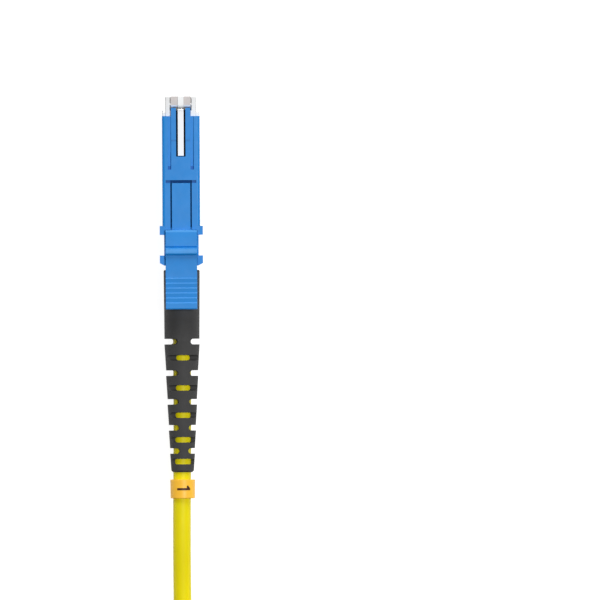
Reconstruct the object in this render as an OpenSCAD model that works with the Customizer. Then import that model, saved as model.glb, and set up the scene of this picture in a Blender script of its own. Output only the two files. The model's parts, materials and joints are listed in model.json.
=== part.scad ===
// Shuttered single-fibre plug on a simplex patch cord, with the same plug on the far end.
// Millimetres. The origin is the centre of the ferrule's end face. +Y runs out of the
// plug's front, +Z is the lever's side, and the plug lies on its flat underside.
// Lengths called "behind the front" are measured back from the shutter's front face.

/* [Nose and shutter] */
// Width of the white nose
nose_w = 5.3; // [5.1:0.05:5.5]
// Height of the nose's cheeks above the axis
nose_top = 3.55; // [3.45:0.05:3.8]
// Depth of the nose below the axis
nose_bottom = 3.9; // [3.7:0.05:4.1]
// Length of the nose ahead of its shoulders
nose_len = 2.4; // [2.3:0.05:3]
// Length of the shoulders
shoulder_len = 0.95; // [0.7:0.05:1.3]
// Width of the mouth between the cheeks
mouth_w = 3.7; // [3.65:0.05:3.9]
// Depth of the mouth's sill below the axis
mouth_drop = 3.15; // [2.9:0.05:3.3]
// How far the shutter stands ahead of the cheeks
shutter_proud = 0.1; // [0.05:0.05:0.2]
// Thickness of the shutter's sheet
shutter_t = 0.3; // [0.2:0.05:0.35]
// Distance of the hinge pin behind the front
hinge_back = 1.4; // [1.3:0.05:1.5]
// Diameter of the hinge pin
hinge_pin_d = 0.5; // [0.4:0.05:0.6]
// Width of the pressed rib and of the leaf spring that follows it
rib_w = 1; // [0.8:0.05:1.2]
// Height of the pressed rib above the sheet
rib_h = 0.2; // [0.1:0.05:0.3]
// Thickness of the leaf spring
leaf_t = 0.25; // [0.15:0.05:0.3]

/* [Ferrule] */
// Diameter of the ceramic ferrule
ferrule_d = 2.5; // [2.45:0.01:2.5]
// Distance of the ferrule's end face behind the front
ferrule_back = 1.6; // [1.3:0.1:2]
// Length of ferrule ahead of its flange
ferrule_len = 7.6; // [7:0.1:8]
// Length of ferrule pressed into its flange
ferrule_grip = 1.9; // [1.5:0.1:2.5]
// Diameter of the shank that is pressed into the flange
ferrule_shank_d = 2; // [1.8:0.05:2.1]
// Length of the chamfer at the end face
ferrule_chamfer = 0.35; // [0.2:0.05:0.5]
// How far the ferrule gives way when plugs meet
ferrule_travel = 1; // [0.5:0.1:1.2]
// Diameter of the bore round the ferrule
sleeve_bore_d = 4.1; // [4:0.05:4.3]
// Diameter of the ferrule's flange
flange_d = 4.6; // [4.5:0.05:4.7]
// Thickness of the flange
flange_t = 1.4; // [1:0.1:2]
// Diameter of the flange's tail
tail_d = 1.9; // [1.8:0.05:2.1]
// Length of the flange's tail
tail_len = 5.6; // [4.8:0.1:5.8]
// Wire diameter of the ferrule's spring
spring_wire = 0.4; // [0.3:0.05:0.45]
// Mean diameter of the ferrule's spring
spring_d = 3.5; // [3.4:0.05:3.7]
// Length of the ferrule's spring as fitted
spring_len = 6; // [5.8:0.1:7]
// Turns in the ferrule's spring
spring_turns = 6; // [4:1:7]

/* [Outer housing] */
// Width of the housing
body_w = 6.36; // [6.3:0.02:6.5]
// Height of the housing
body_h = 8.6; // [8.4:0.05:9]
// Length of the housing
body_len = 25.3; // [24.5:0.1:27]
// Edge radius of the housing
body_edge = 0.45; // [0.2:0.05:0.6]
// Width of the neck under the lever
neck_w = 5.82; // [5.6:0.02:6]
// Length of the neck
neck_len = 5.2; // [5:0.1:5.6]
// Height of the neck's top above the axis
neck_top = 3.6; // [3.4:0.05:3.65]
// Thickness of the wall over the inner body
roof_t = 0.96; // [0.9:0.02:1.1]
// Width of the central rail
rail_w = 3.3; // [3.1:0.05:3.5]
// Distance of the rail's front end behind the front
rail_front = 1.95; // [1.9:0.05:2.2]
// Width of the slot along the rail
slot_w = 1.6; // [1.4:0.05:1.8]
// Distance of the slot's rear end behind the front
slot_back = 10.2; // [9.5:0.1:11]
// Distance of the step down in the rail behind the front
rail_step_back = 7.4; // [6:0.1:9]
// Depth of the step in the rail
rail_step = 0.12; // [0.05:0.01:0.2]
// Width of the ramped grooves beside the rail
groove_w = 0.55; // [0.3:0.05:0.8]
// Depth of the grooves at their rear end
groove_drop = 0.5; // [0.2:0.05:0.7]
// Distance of the grooves' rear end behind the front
groove_back = 12.4; // [11:0.1:13]
// Width across the ears
ear_w = 7.3; // [7.1:0.02:7.5]
// Length of each ear
ear_len = 1.5; // [1.4:0.05:1.7]
// Depth of the ears below the housing's top
ear_drop = 3.4; // [2.5:0.1:4.5]

/* [Lever] */
// Width of the lever's plate and pad
lever_w = 5.34; // [5:0.02:5.4]
// Width of the tongue
tongue_w = 3.15; // [3:0.05:3.3]
// Length of the tongue ahead of the pivot
tongue_len = 8; // [7.5:0.05:8.5]
// Thickness of the tongue
tongue_t = 0.65; // [0.5:0.05:0.7]
// Floor of the pocket under the tongue
tongue_floor = 0.2; // [0.15:0.05:0.25]
// Gap round the tongue
tongue_gap = 0.24; // [0.15:0.01:0.3]
// Gap ahead of the tongue
tongue_front_gap = 0.5; // [0.2:0.05:0.6]
// Height of the pivot above the axis
pivot_z = 3.3; // [3.2:0.05:3.35]
// Diameter of the lever's trunnions
trunnion_d = 0.7; // [0.6:0.05:0.8]
// Length of each trunnion
trunnion_len = 0.6; // [0.4:0.05:0.65]
// Radius of the hub round the pivot
hub_r = 0.55; // [0.5:0.01:0.58]
// Height of the plate's underside above the axis
plate_under = 4.42; // [4.4:0.02:4.6]
// Height of the plate's flat top above the axis
plate_top = 5.3; // [5.1:0.05:5.5]
// Length of the plate's flat top
plate_len = 2.95; // [2.5:0.05:3.5]
// Length of the ridge
ridge_len = 1.28; // [1:0.02:1.6]
// Height of the ridge above the flat top
ridge_h = 0.5; // [0.3:0.05:0.7]
// Length of the hollow behind the ridge
scoop_len = 3.85; // [3:0.05:4]
// Depth of the hollow's rear end below the flat top
scoop_drop = 0.3; // [0.2:0.02:0.4]
// Number of grip steps ahead of the plain band
rib_count = 5; // [3:1:7]
// Pitch of the grip steps
rib_pitch = 0.83; // [0.7:0.01:0.9]
// Height of each grip step
grip_h = 0.16; // [0.1:0.02:0.25]
// Height of the pad's end above the flat top
pad_rise = 0.25; // [0.1:0.05:0.4]
// Length of the plain band at the pad's end
pad_band = 1.18; // [0.7:0.02:1.3]
// Height of the pad's underside above the axis
pad_under = 4.66; // [4.6:0.02:4.9]

/* [Rear body and crimp] */
// Thickness of the plate that closes the inner body
plate_t = 1.4; // [1:0.1:2]
// Diameter of the rear body's barrel
barrel_d = 4.4; // [4.2:0.05:4.5]
// Length of barrel inside the boot
barrel_in = 1.1; // [0.8:0.1:1.4]
// Diameter of the crimp neck
crimp_neck_d = 3.5; // [3.3:0.05:3.6]
// Length of the crimp neck
crimp_neck_len = 6; // [5:0.1:7]
// Thickness of the clamped aramid yarn
yarn_t = 0.2; // [0.1:0.05:0.25]
// Wall of the crimp sleeve
crimp_wall = 0.4; // [0.3:0.05:0.42]
// Length of the crimp sleeve over the jacket
crimp_tail = 2.2; // [1.5:0.1:3]
// Diameter of the buffered fibre
buffer_d = 0.9; // [0.6:0.1:1]

/* [Boot] */
// Gap between the housing and the boot
boot_gap = 0.75; // [0.5:0.05:1]
// Length of the boot
boot_len = 34.3; // [33:0.1:36]
// Diameter of the boot's front end
boot_front_d = 6.12; // [6:0.02:6.3]
// Diameter of the boot ahead of the first notches
boot_mid_d = 5.94; // [5.8:0.02:6]
// Diameter of the boot's rear end
boot_end_d = 3.86; // [3.8:0.02:4.2]
// Distance of the first pair of notches behind the boot's front
notch_start = 12.15; // [11.5:0.05:12.5]
// Rows of notches, turned a quarter from row to row
notch_rows = 10; // [6:2:10]
// Distance from the first row to the second
notch_pitch = 2.73; // [2.4:0.01:2.8]
// How much each further pitch shrinks
notch_shrink = 0.118; // [0.08:0.001:0.13]
// Length of a notch along the boot
notch_l = 0.94; // [0.8:0.02:1.2]
// Distance of the first notches' floor from the axis
notch_floor = 1.07; // [0.9:0.01:1.2]
// Distance of the last notches' floor from the axis
notch_floor_end = 0.66; // [0.6:0.01:0.9]
// Small step at the front of each tapered ring
ring_step = 0.1; // [0.02:0.01:0.15]
// How far the boot is turned about its axis
boot_turn = 9; // [0:1:20]

/* [Cord and marker] */
// Diameter of the cord
cord_d = 3; // [2.8:0.1:3]
// Distance of the marker behind the boot
marker_gap = 1.23; // [0.8:0.01:2]
// Length of the marker
marker_len = 3.2; // [2.5:0.1:4]
// Wall of the marker
marker_t = 0.58; // [0.4:0.02:0.8]
// Opening of the marker, in degrees
marker_open = 70; // [40:5:100]
// Length of the hank's straight runs
hank_run = 49; // [45:1:55]
// Fold radius of the hank's inner turns
hank_fold = 9; // [9:0.5:10]
// Thickness of the hank's ties
tie_t = 0.4; // [0.3:0.1:0.8]
// Width of the hank's ties
tie_w = 3.5; // [2:0.5:5]
// Distance of the ties behind the hank's front fold
tie_back = 14; // [8:1:16]

/* [Hidden] */
$fn = 48;

run_gap = 0.03;   // radial clearance of a pin that turns in its hole
seat_gap = 0.03;  // clearance of a piece that stays seated
move_gap = 0.05;  // side clearance of a piece that moves
cut = 0.5;        // how far a cutting shape runs past the wall it opens

base_z = -body_h / 2;
roof_z = body_h / 2;
roof_under = roof_z - roof_t;
inner_top = roof_under - seat_gap;
inner_bottom = nose_bottom - 0.1;

housing_front = nose_len + shoulder_len;
housing_end = housing_front + body_len;
neck_front = housing_end - neck_len;
pivot_back = neck_front - ear_len / 2;
cavity_end = neck_front - ear_len;
tongue_front = pivot_back - tongue_len;
plate_front = pivot_back - 0.03;

flange_front = ferrule_back + ferrule_len;
flange_bore_d = flange_d + 2 * move_gap;
spring_front = flange_front + flange_t;
rear_front = spring_front + spring_len;
boot_front = housing_end + boot_gap;
boot_end = boot_front + boot_len;
barrel_end = boot_front + barrel_in;
neck_end = barrel_end + crimp_neck_len;
crimp_front = barrel_end + seat_gap;
crimp_step = neck_end + 0.1;
crimp_len = crimp_step - crimp_front;
crimp_end = crimp_step + crimp_tail;
jacket_front = crimp_step + 0.2;
crimp_d = crimp_neck_d + 2 * yarn_t + 2 * crimp_wall;
marker_front = boot_end + marker_gap;

barrel_r = hinge_pin_d / 2 + 0.2;
hinge_z = nose_top - barrel_r;
shutter_w = mouth_w - 2 * 0.13;
leaf_front = hinge_back + barrel_r + rib_h + 0.15;
leaf_z = nose_top - 0.15;

scoop_front = plate_len + ridge_len;
pad_front = scoop_front + scoop_len;
lever_len = pad_front + rib_count * rib_pitch + pad_band;

hank_x = 12;
hank_y = -102.5;
hank_foot = base_z + tie_t;
hank_top = hank_foot + 3 * cord_d;
fold_in = hank_fold - cord_d / 2;
fold_out = hank_fold + 3 * cord_d / 2;
far_x = 1.5;
far_y = hank_y - 6 - (boot_end - ferrule_back);
far_z = hank_top + body_h / 2;

run_route = [[0, -35.2, 0], [0, -44, 0], [0, -52, 0], [0, -60, 0], [0, -68, 0],
  [0, -74, -0.4], [0, -80, -1.4], [0, -86, -2.3], [0, -92, -2.7], [0, -98, -2.6],
  [0, -103, -2.4]];
tail_route = [[24, -146, 3.6], [24, -141, 4.1], [24, -136, 5.1], [24, -131, 6.2],
  [24, -126, 6.8], [24, -121, 7], [24, -115, 7], [24, -109, 7.1], [24, -103, 7.3],
  [22.6, -97, 7.7], [18.6, -92.7, 8.2], [12.8, -91.2, 8.7], [7, -92.7, 9.1],
  [2.9, -97, 9.3], [1.5, -103, 9.4], [1.5, -111, 9.4], [1.5, -119, 9.4],
  [1.5, -127, 9.4], [1.5, -135.4, 9.4]];

// Where a distance behind the front lies along Y
function at(d) = ferrule_back - d;

// ---- Shared shapes ----

// A profile in X and Z, run back from a distance behind the front
module back(d, len) {
  translate([0, at(d), 0])
    rotate([90, 0, 0])
      linear_extrude(height = len)
        children();
}

// A profile in Y and Z, centred across the plug
module across(w) {
  rotate([90, 0, 90])
    linear_extrude(height = w, center = true)
      children();
}

// A round bar along the axis
module bar(d, len, diameter) {
  back(d, len) circle(d = diameter);
}

// A round bar across the plug
module cross_bar(d, z, w, diameter) {
  translate([0, at(d), z])
    rotate([0, 90, 0])
      cylinder(h = w, d = diameter, center = true);
}

// A rectangle with round corners, from z0 up to z1
module rounded(w, z0, z1, r) {
  h = z1 - z0;
  translate([0, (z0 + z1) / 2]) {
    square([w - 2 * r, h], center = true);
    square([w, h - 2 * r], center = true);
    for (sx = [-1, 1], sz = [-1, 1])
      translate([sx * (w / 2 - r), sz * (h / 2 - r)])
        circle(r = r, $fn = 24);
  }
}

// A plain block between two distances and two heights
module block(w, d0, d1, z0, z1) {
  translate([-w / 2, at(d1), z0])
    cube([w, d1 - d0, z1 - z0]);
}

module both_sides() {
  children();
  mirror([1, 0, 0]) children();
}

function unit(v) = v / norm(v);
function heading(p, i) = unit(p[min(i + 1, len(p) - 1)] - p[max(i - 1, 0)]);

// A round tube along a list of points, as rings of equal sides joined into one skin
module swept(points, r, sides) {
  rings = len(points);
  skin = [for (i = [0:rings - 1])
    let (t = heading(points, i), u = unit(cross(t, [0, 0.01, 1])), v = cross(u, t))
    for (k = [0:sides - 1])
      points[i] + r * (cos(360 * k / sides) * u + sin(360 * k / sides) * v)];
  sides_faces = [for (i = [0:rings - 2], k = [0:sides - 1])
    let (a = i * sides + k, b = i * sides + (k + 1) % sides)
    [a, b, b + sides, a + sides]];
  first = [for (k = [0:sides - 1]) sides - 1 - k];
  last = [for (k = [0:sides - 1]) (rings - 1) * sides + k];
  polyhedron(points = skin, faces = concat(sides_faces, [first, last]), convexity = 8);
}

// ---- Housing ----

module outer_housing() {
  color("#3f8bd8")
    difference() {
      union() {
        housing_block();
        housing_rail();
        ears();
      }
      housing_cavity();
      rail_slot();
      both_sides() ramped_groove();
      lever_opening();
      pivot_holes();
    }
}

module housing_block() {
  back(housing_front, cavity_end + ear_len - housing_front)
    rounded(body_w, base_z, roof_z, body_edge);
  back(neck_front - cut, neck_len + cut)
    rounded(neck_w, base_z, neck_top, body_edge);
}

module housing_rail() {
  block(rail_w, rail_front, housing_front + cut, roof_under, roof_z);
}

// The front ears carry the lever's pivot, and the rear ones taper back to the neck
module ears() {
  ear_foot = roof_z - ear_drop;
  block(ear_w, cavity_end, neck_front, ear_foot, roof_z);
  rear_front = housing_end - ear_len - 0.2;
  translate([0, 0, ear_foot])
    linear_extrude(height = roof_z - ear_foot)
      polygon([
        [-ear_w / 2, at(rear_front)], [ear_w / 2, at(rear_front)],
        [ear_w / 2, at(housing_end - 0.4)], [neck_w / 2, at(housing_end)],
        [-neck_w / 2, at(housing_end)], [-ear_w / 2, at(housing_end - 0.4)]
      ]);
}

module housing_cavity() {
  back(housing_front - cut, cavity_end - housing_front + cut)
    rounded(nose_w + 2 * seat_gap, -inner_bottom - seat_gap, roof_under, body_edge / 2);
  bar(cavity_end - cut, housing_end - cavity_end + 2 * cut, barrel_d + 2 * seat_gap);
}

// The slot shows the leaf spring, and a shallow step crosses the rail beside it
module rail_slot() {
  block(slot_w, rail_front - cut, slot_back, roof_under - cut, roof_z + cut);
  block(rail_w, rail_step_back, slot_back - 0.75, roof_z - rail_step, roof_z + cut);
}

module ramped_groove() {
  translate([(rail_w + groove_w) / 2, 0, 0])
    across(groove_w)
      polygon([
        [at(housing_front - cut), roof_z + cut], [at(housing_front - cut), roof_z - 0.2],
        [at(groove_back - 0.6), roof_z - groove_drop], [at(groove_back), roof_z - groove_drop],
        [at(groove_back), roof_z + cut]
      ]);
}

// A pocket for the tongue, a tunnel for the hub, and an opening above the neck for the plate
module lever_opening() {
  slot_front = tongue_front - tongue_front_gap;
  opening_w = lever_w + 2 * move_gap;
  block(tongue_w + 2 * tongue_gap, slot_front, pivot_back, roof_under + tongue_floor, roof_z + cut);
  block(tongue_w + 4 * tongue_front_gap, slot_front, tongue_front, roof_z - 0.25, roof_z + cut);
  cross_bar(pivot_back, pivot_z, opening_w, 2 * (hub_r + move_gap));
  block(opening_w, plate_front - move_gap, pivot_back + hub_r + move_gap, pivot_z, roof_z + cut);
  block(opening_w, pivot_back, housing_end + cut, neck_top, roof_z + cut);
}

module pivot_holes() {
  cross_bar(pivot_back, pivot_z, lever_w + 2 * trunnion_len + 4 * move_gap,
    trunnion_d + 2 * run_gap);
}

// ---- White inner body ----

module inner_body() {
  front = shutter_proud;
  color("#f2f4f5")
    difference() {
      union() {
        back(front, nose_len + shoulder_len - front)
          rounded(nose_w, -nose_bottom, nose_top, 0.25);
        shoulders();
        back(housing_front - cut, rear_front - housing_front + cut)
          rounded(nose_w, -inner_bottom, inner_top, body_edge / 2);
      }
      mouth();
      // bore for the mating sleeve, then a wider one for the flange, its spring and travel
      bar(-cut, flange_front + cut, sleeve_bore_d);
      bar(flange_front, rear_front - flange_front + cut, flange_bore_d);
      leaf_channel();
      cross_bar(hinge_back, hinge_z, nose_w + cut, hinge_pin_d);
    }
}

module shoulders() {
  difference() {
    back(nose_len, shoulder_len)
      rounded(body_w, base_z + 0.1, inner_top, body_edge / 2);
    both_sides()
      translate([body_w / 2 - 0.35, at(nose_len + 0.1), 0])
        cylinder(h = body_h, d = 0.5, center = true, $fn = 24);
  }
}

// The mouth is open upwards between the cheeks, where the shutter's barrel turns
module mouth() {
  block(mouth_w, -cut, nose_len, -mouth_drop, nose_top + cut);
  block(rail_w + 2 * seat_gap, rail_front - seat_gap, housing_front + cut,
    roof_under - seat_gap, nose_top + cut);
}

// A narrow channel under the leaf spring lets it flex
module leaf_channel() {
  block(slot_w, nose_len - cut, slot_back, sleeve_bore_d / 2 + 0.3, inner_top + cut);
}

// ---- Shutter ----

// A bent sheet: a flap over the mouth, a top plate and a barrel round the hinge pin
module shutter() {
  color("#c9cac8")
    difference() {
      union() {
        block(shutter_w, 0, shutter_t, -mouth_drop + 0.1, nose_top);
        block(shutter_w, 0, hinge_back, nose_top - shutter_t, nose_top);
        cross_bar(hinge_back, hinge_z, shutter_w, 2 * barrel_r);
        shutter_rib();
      }
      cross_bar(hinge_back, hinge_z, shutter_w + cut, hinge_pin_d + 2 * run_gap);
    }
}

module shutter_rib() {
  block(rib_w, 0, hinge_back, nose_top - cut / 2, nose_top + rib_h);
  intersection() {
    block(rib_w, hinge_back - cut / 2, hinge_back + cut, hinge_z, nose_top + rib_h);
    cross_bar(hinge_back, hinge_z, rib_w, 2 * (barrel_r + rib_h));
  }
}

module hinge_pin() {
  color("#b9bcbf") cross_bar(hinge_back, hinge_z, nose_w - 0.1, hinge_pin_d);
}

// The leaf lies along the slot, with a rolled front end and a foot on the channel's floor
module shutter_spring() {
  floor_z = sleeve_bore_d / 2 + 0.3;
  leaf_end = slot_back - 0.25;
  bead_r = 0.22;
  color("#f4f6f6")
    union() {
      cross_bar(leaf_front + bead_r, leaf_z + leaf_t + 0.06 - bead_r, rib_w, 2 * bead_r);
      block(rib_w, leaf_front + bead_r, leaf_end, leaf_z, leaf_z + leaf_t);
      block(rib_w, leaf_end - 0.9, leaf_end, floor_z, leaf_z + leaf_t);
    }
}

// ---- Lever ----

module lever() {
  color("#438ed9")
    union() {
      lever_plate();
      tongue();
      hub();
    }
}

// The tongue lies in the roof's opening, flush with the roof, and thins towards its tip
module tongue() {
  across(tongue_w)
    polygon([
      [at(tongue_front), roof_z], [at(tongue_front), roof_z - tongue_t * 0.7],
      [at(tongue_front + 0.8), roof_z - tongue_t], [at(pivot_back), roof_z - tongue_t],
      [at(pivot_back), roof_z]
    ]);
}

// The hub, its trunnions, and the web that rises from it to the plate
module hub() {
  cross_bar(pivot_back, pivot_z, lever_w, 2 * hub_r);
  cross_bar(pivot_back, pivot_z, lever_w + 2 * trunnion_len, trunnion_d);
  block(lever_w, plate_front, pivot_back + hub_r - 0.1, pivot_z, plate_under + 0.1);
}

// Side profile: flat top, round-edged ridge, hollow, grip steps that face the front, plain band
module lever_plate() {
  band = pad_front + rib_count * rib_pitch;
  band_z = plate_top + pad_rise;
  foot_z = plate_top - scoop_drop;
  foot_rise = (band_z - grip_h - foot_z) / rib_count;
  start = [[0, plate_under], [0, plate_top - 0.12], [0.35, plate_top],
    [plate_len - 0.25, plate_top], [plate_len - 0.05, plate_top - 0.15]];
  ridge = [for (i = [0:16])
    let (a = 180 * i / 16, c = cos(a), flat = sign(c) * pow(abs(c), 0.6))
    [plate_len + ridge_len * (1 - flat) / 2, plate_top + ridge_h * pow(sin(a), 0.7)]];
  hollow = [for (i = [0:8])
    let (t = i / 8)
    [scoop_front + scoop_len * t, foot_z + (scoop_drop - 0.1) * (1 - t) * (1 - t)]];
  steps = [for (i = [0:rib_count - 1])
    let (s = pad_front + i * rib_pitch, z = foot_z + i * foot_rise)
    for (p = [[0, z], [0.12, z + grip_h]])
      [s + p[0], p[1]]];
  end = [[band, band_z - grip_h], [band + 0.12, band_z], [lever_len - 0.15, band_z],
    [lever_len, band_z - 0.15], [lever_len, pad_under], [lever_len - 1.2, pad_under],
    [pad_front - 0.6, pad_under - 0.1], [scoop_front, plate_under]];
  across(lever_w)
    polygon([for (p = concat(start, ridge, hollow, steps, end)) [at(plate_front + p[0]), p[1]]]);
}

// ---- Ferrule group ----

module ferrule() {
  whole = ferrule_len + ferrule_grip;
  color("#f7f5ee")
    translate([0, at(ferrule_back + whole), 0])
      rotate([-90, 0, 0])
        rotate_extrude()
          polygon([
            [0, 0], [ferrule_shank_d / 2, 0], [ferrule_shank_d / 2, ferrule_grip],
            [ferrule_d / 2, ferrule_grip], [ferrule_d / 2, whole - ferrule_chamfer],
            [ferrule_d / 2 - ferrule_chamfer, whole], [0, whole]
          ]);
}

// A disc with four key slots, a collar that guides the spring, and a tail
module ferrule_flange() {
  collar_d = spring_d - spring_wire - 0.24;
  collar_len = ferrule_grip + 0.4;
  color("#a9adb1")
    difference() {
      union() {
        bar(flange_front, flange_t, flange_d);
        bar(flange_front, collar_len, collar_d);
        bar(flange_front, flange_t + tail_len, tail_d);
      }
      bar(flange_front - cut, ferrule_grip + cut, ferrule_shank_d);
      bar(flange_front, flange_t + tail_len + cut, buffer_d + 0.2);
      for (a = [45:90:315])
        rotate([0, a, 0])
          translate([flange_d / 2 - 0.3, at(flange_front + flange_t + cut), -0.3])
            cube([cut, flange_t + 2 * cut, 0.6]);
    }
}

// Closed end turns and open turns between them
module ferrule_spring() {
  r = spring_wire / 2;
  steps = 14;
  total = spring_turns * steps;
  reach = spring_len - spring_wire;
  // 0 to 1 along the spring, level over the first and last turn
  function rise(n) = n <= 1 ? 0 : n >= spring_turns - 1 ? 1 : (n - 1) / (spring_turns - 2);
  close = spring_wire + 0.02;
  function along(n) = min(n, 1) * close + max(0, n - spring_turns + 1) * close
    + rise(n) * (reach - 2 * close);
  color("#9aa0a6")
    swept_coil([for (i = [0:total])
      let (n = i / steps)
      [spring_d / 2 * cos(360 * n), at(spring_front + r + along(n)), spring_d / 2 * sin(360 * n)]],
      r, 6);
}

// As swept(), for a coil round the Y axis: the rings stand on the radius and on Y
module swept_coil(points, r, sides) {
  rings = len(points);
  skin = [for (p = points)
    let (u = unit([p[0], 0, p[2]]))
    for (k = [0:sides - 1])
      p + r * (cos(360 * k / sides) * u + sin(360 * k / sides) * [0, 1, 0])];
  walls = [for (i = [0:rings - 2], k = [0:sides - 1])
    let (a = i * sides + k, b = i * sides + (k + 1) % sides)
    [a, a + sides, b + sides, b]];
  first = [for (k = [0:sides - 1]) k];
  last = [for (k = [0:sides - 1]) rings * sides - 1 - k];
  polyhedron(points = skin, faces = concat(walls, [first, last]), convexity = 12);
}

// ---- Rear body and crimp ----

// A plate against the inner body, a shank in the housing, a barrel and a ringed crimp neck
module rear_body() {
  tail_room = spring_len - tail_len + 0.2;
  color("#b4b8bc")
    difference() {
      union() {
        back(rear_front, plate_t)
          rounded(nose_w, -inner_bottom, inner_top, body_edge / 2);
        bar(rear_front, cavity_end - rear_front, nose_w - 0.1);
        bar(rear_front, barrel_end - rear_front, barrel_d);
        bar(barrel_end - cut, crimp_neck_len + cut, crimp_neck_d);
      }
      bar(rear_front - cut, ferrule_travel + cut + max(0.2, 1.2 - tail_room), tail_d + 0.4);
      bar(rear_front, neck_end - rear_front + cut, buffer_d + 0.5);
      for (s = [1:1.2:crimp_neck_len - 1])
        difference() {
          bar(barrel_end + s, 0.4, crimp_neck_d + 1);
          bar(barrel_end + s - cut, 0.4 + 2 * cut, crimp_neck_d - 0.2);
        }
    }
}

module aramid_yarn() {
  color("#e5c63c")
    difference() {
      bar(crimp_front, neck_end - crimp_front, crimp_neck_d + 2 * yarn_t);
      bar(crimp_front - cut, crimp_len + 2 * cut, crimp_neck_d);
    }
}

// Wide over the neck and the yarn, then pressed down on the cord's jacket
module crimp_sleeve() {
  color("#9fa4a8")
    difference() {
      union() {
        bar(crimp_front, crimp_len + crimp_wall, crimp_d);
        bar(crimp_step, crimp_tail, cord_d + 2 * crimp_wall);
      }
      bar(crimp_front - cut, crimp_len + cut, crimp_neck_d + 2 * yarn_t);
      bar(crimp_step - cut, crimp_tail + 2 * cut, cord_d);
    }
}

// The buffered fibre stays clear of the ferrule's travel
module fibre_buffer() {
  front = flange_front + ferrule_grip + ferrule_travel + 0.1;
  color("#f0eee6") bar(front, jacket_front - front, buffer_d);
}

// ---- Boot ----

// Distance of a row of notches behind the boot's front
function row_at(i) = notch_start + i * notch_pitch - notch_shrink * i * (i - 1) / 2;

module boot() {
  taper = boot_len - row_at(0);
  function cone(s) = boot_mid_d / 2 - (boot_mid_d - boot_end_d) / 2 * (s - row_at(0)) / taper;
  rings = [for (i = [0:2:notch_rows - 1])
    let (s = row_at(i), e = i + 2 < notch_rows ? row_at(i + 2) : boot_len - 0.3)
    for (p = [[s, cone(s) + ring_step / 2], [e, cone(e) - ring_step / 4]]) [p[1], p[0]]];
  color("#3b3a3b")
    difference() {
      translate([0, at(boot_front), 0])
        rotate([90, 0, 0])
          rotate_extrude()
            polygon(concat(
              [[0, 0], [boot_front_d / 2 - 0.15, 0], [boot_front_d / 2, 0.15],
                [boot_mid_d / 2, row_at(0) - 0.01]],
              rings,
              [[boot_end_d / 2 - 0.3, boot_len], [0, boot_len]]));
      boot_bore();
      rotate([0, boot_turn, 0])
        for (i = [0:notch_rows - 1])
          rotate([0, i % 2 * 90, 0])
            both_sides() notch(i);
    }
}

// Grips the barrel, clears the crimp sleeve and follows the cord
module boot_bore() {
  bar(boot_front - cut, barrel_in + 2 * cut, barrel_d + 2 * seat_gap);
  bar(crimp_front - 0.1, crimp_end - crimp_front + 0.3, crimp_d + 2 * move_gap);
  bar(crimp_end - cut, boot_end - crimp_end + 2 * cut, cord_d + 2 * move_gap);
}

module notch(i) {
  r = notch_l / 2;
  floor_x = notch_floor + (notch_floor_end - notch_floor) * i / (notch_rows - 1);
  translate([floor_x + r, at(boot_front + row_at(i)), 0])
    linear_extrude(height = 2 * boot_front_d, center = true) {
      circle(r = r, $fn = 24);
      translate([0, -r]) square([boot_front_d, notch_l]);
    }
}

// ---- Marker, cord and hank ----

// A clip that snaps over the cord and opens underneath
module marker() {
  r = cord_d / 2 + seat_gap;
  color("#ecb543")
    translate([0, at(marker_front), 0])
      rotate([90, 0, 0])
        rotate([0, 0, -90 + marker_open / 2])
          rotate_extrude(angle = 360 - marker_open)
            polygon([
              [r, 0], [r + marker_t - 0.08, 0], [r + marker_t, 0.08],
              [r + marker_t - 0.04, marker_len - 0.08],
              [r + marker_t - 0.12, marker_len], [r, marker_len]
            ]);
}

module cord_run() {
  color("#dccf1b") swept(run_route, cord_d / 2, 8);
}

module cord_tail() {
  color("#dccf1b") swept(tail_route, cord_d / 2, 8);
}

// Both folds and both runs of the hank's outline
module racetrack(r) {
  for (s = [0, 1])
    translate([0, -s * hank_run]) circle(r = r);
  translate([-r, -hank_run]) square([2 * r, hank_run]);
}

module cord_hank() {
  color("#dccf1b")
    translate([hank_x, hank_y, hank_foot])
      linear_extrude(height = 3 * cord_d)
        difference() {
          racetrack(fold_out);
          racetrack(fold_in);
        }
}

// A strip round one bundle of runs
module hank_tie(side) {
  color("#2f2f31")
    translate([hank_x + side * (fold_in + fold_out) / 2, hank_y - tie_back, 0])
      rotate([90, 0, 0])
        linear_extrude(height = tie_w)
          difference() {
            rounded(2 * cord_d + 2 * tie_t, hank_foot - tie_t, hank_top + tie_t, tie_t);
            translate([-cord_d, hank_foot]) square([2 * cord_d, 3 * cord_d]);
          }
}

// Turned about and laid on the hank
module far() {
  translate([far_x, far_y, far_z])
    rotate([0, 0, 180])
      children();
}

outer_housing();
inner_body();
shutter();
hinge_pin();
shutter_spring();
lever();
ferrule();
ferrule_flange();
ferrule_spring();
rear_body();
crimp_sleeve();
aramid_yarn();
fibre_buffer();
boot();
marker();
cord_run();
cord_hank();
cord_tail();
hank_tie(-1);  // hank_tie_left
hank_tie(1);  // hank_tie_right
far() outer_housing();  // far_outer_housing
far() inner_body();  // far_inner_body
far() shutter();  // far_shutter
far() hinge_pin();  // far_hinge_pin
far() shutter_spring();  // far_shutter_spring
far() lever();  // far_lever
far() ferrule();  // far_ferrule
far() ferrule_flange();  // far_ferrule_flange
far() ferrule_spring();  // far_ferrule_spring
far() rear_body();  // far_rear_body
far() crimp_sleeve();  // far_crimp_sleeve
far() aramid_yarn();  // far_aramid_yarn
far() fibre_buffer();  // far_fibre_buffer
far() boot();  // far_boot
far() marker();  // far_marker
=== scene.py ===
"""Dresses a shuttered fibre plug and its hanked patch cord: rounded edges, finishes, studio."""

import json
import math

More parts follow.
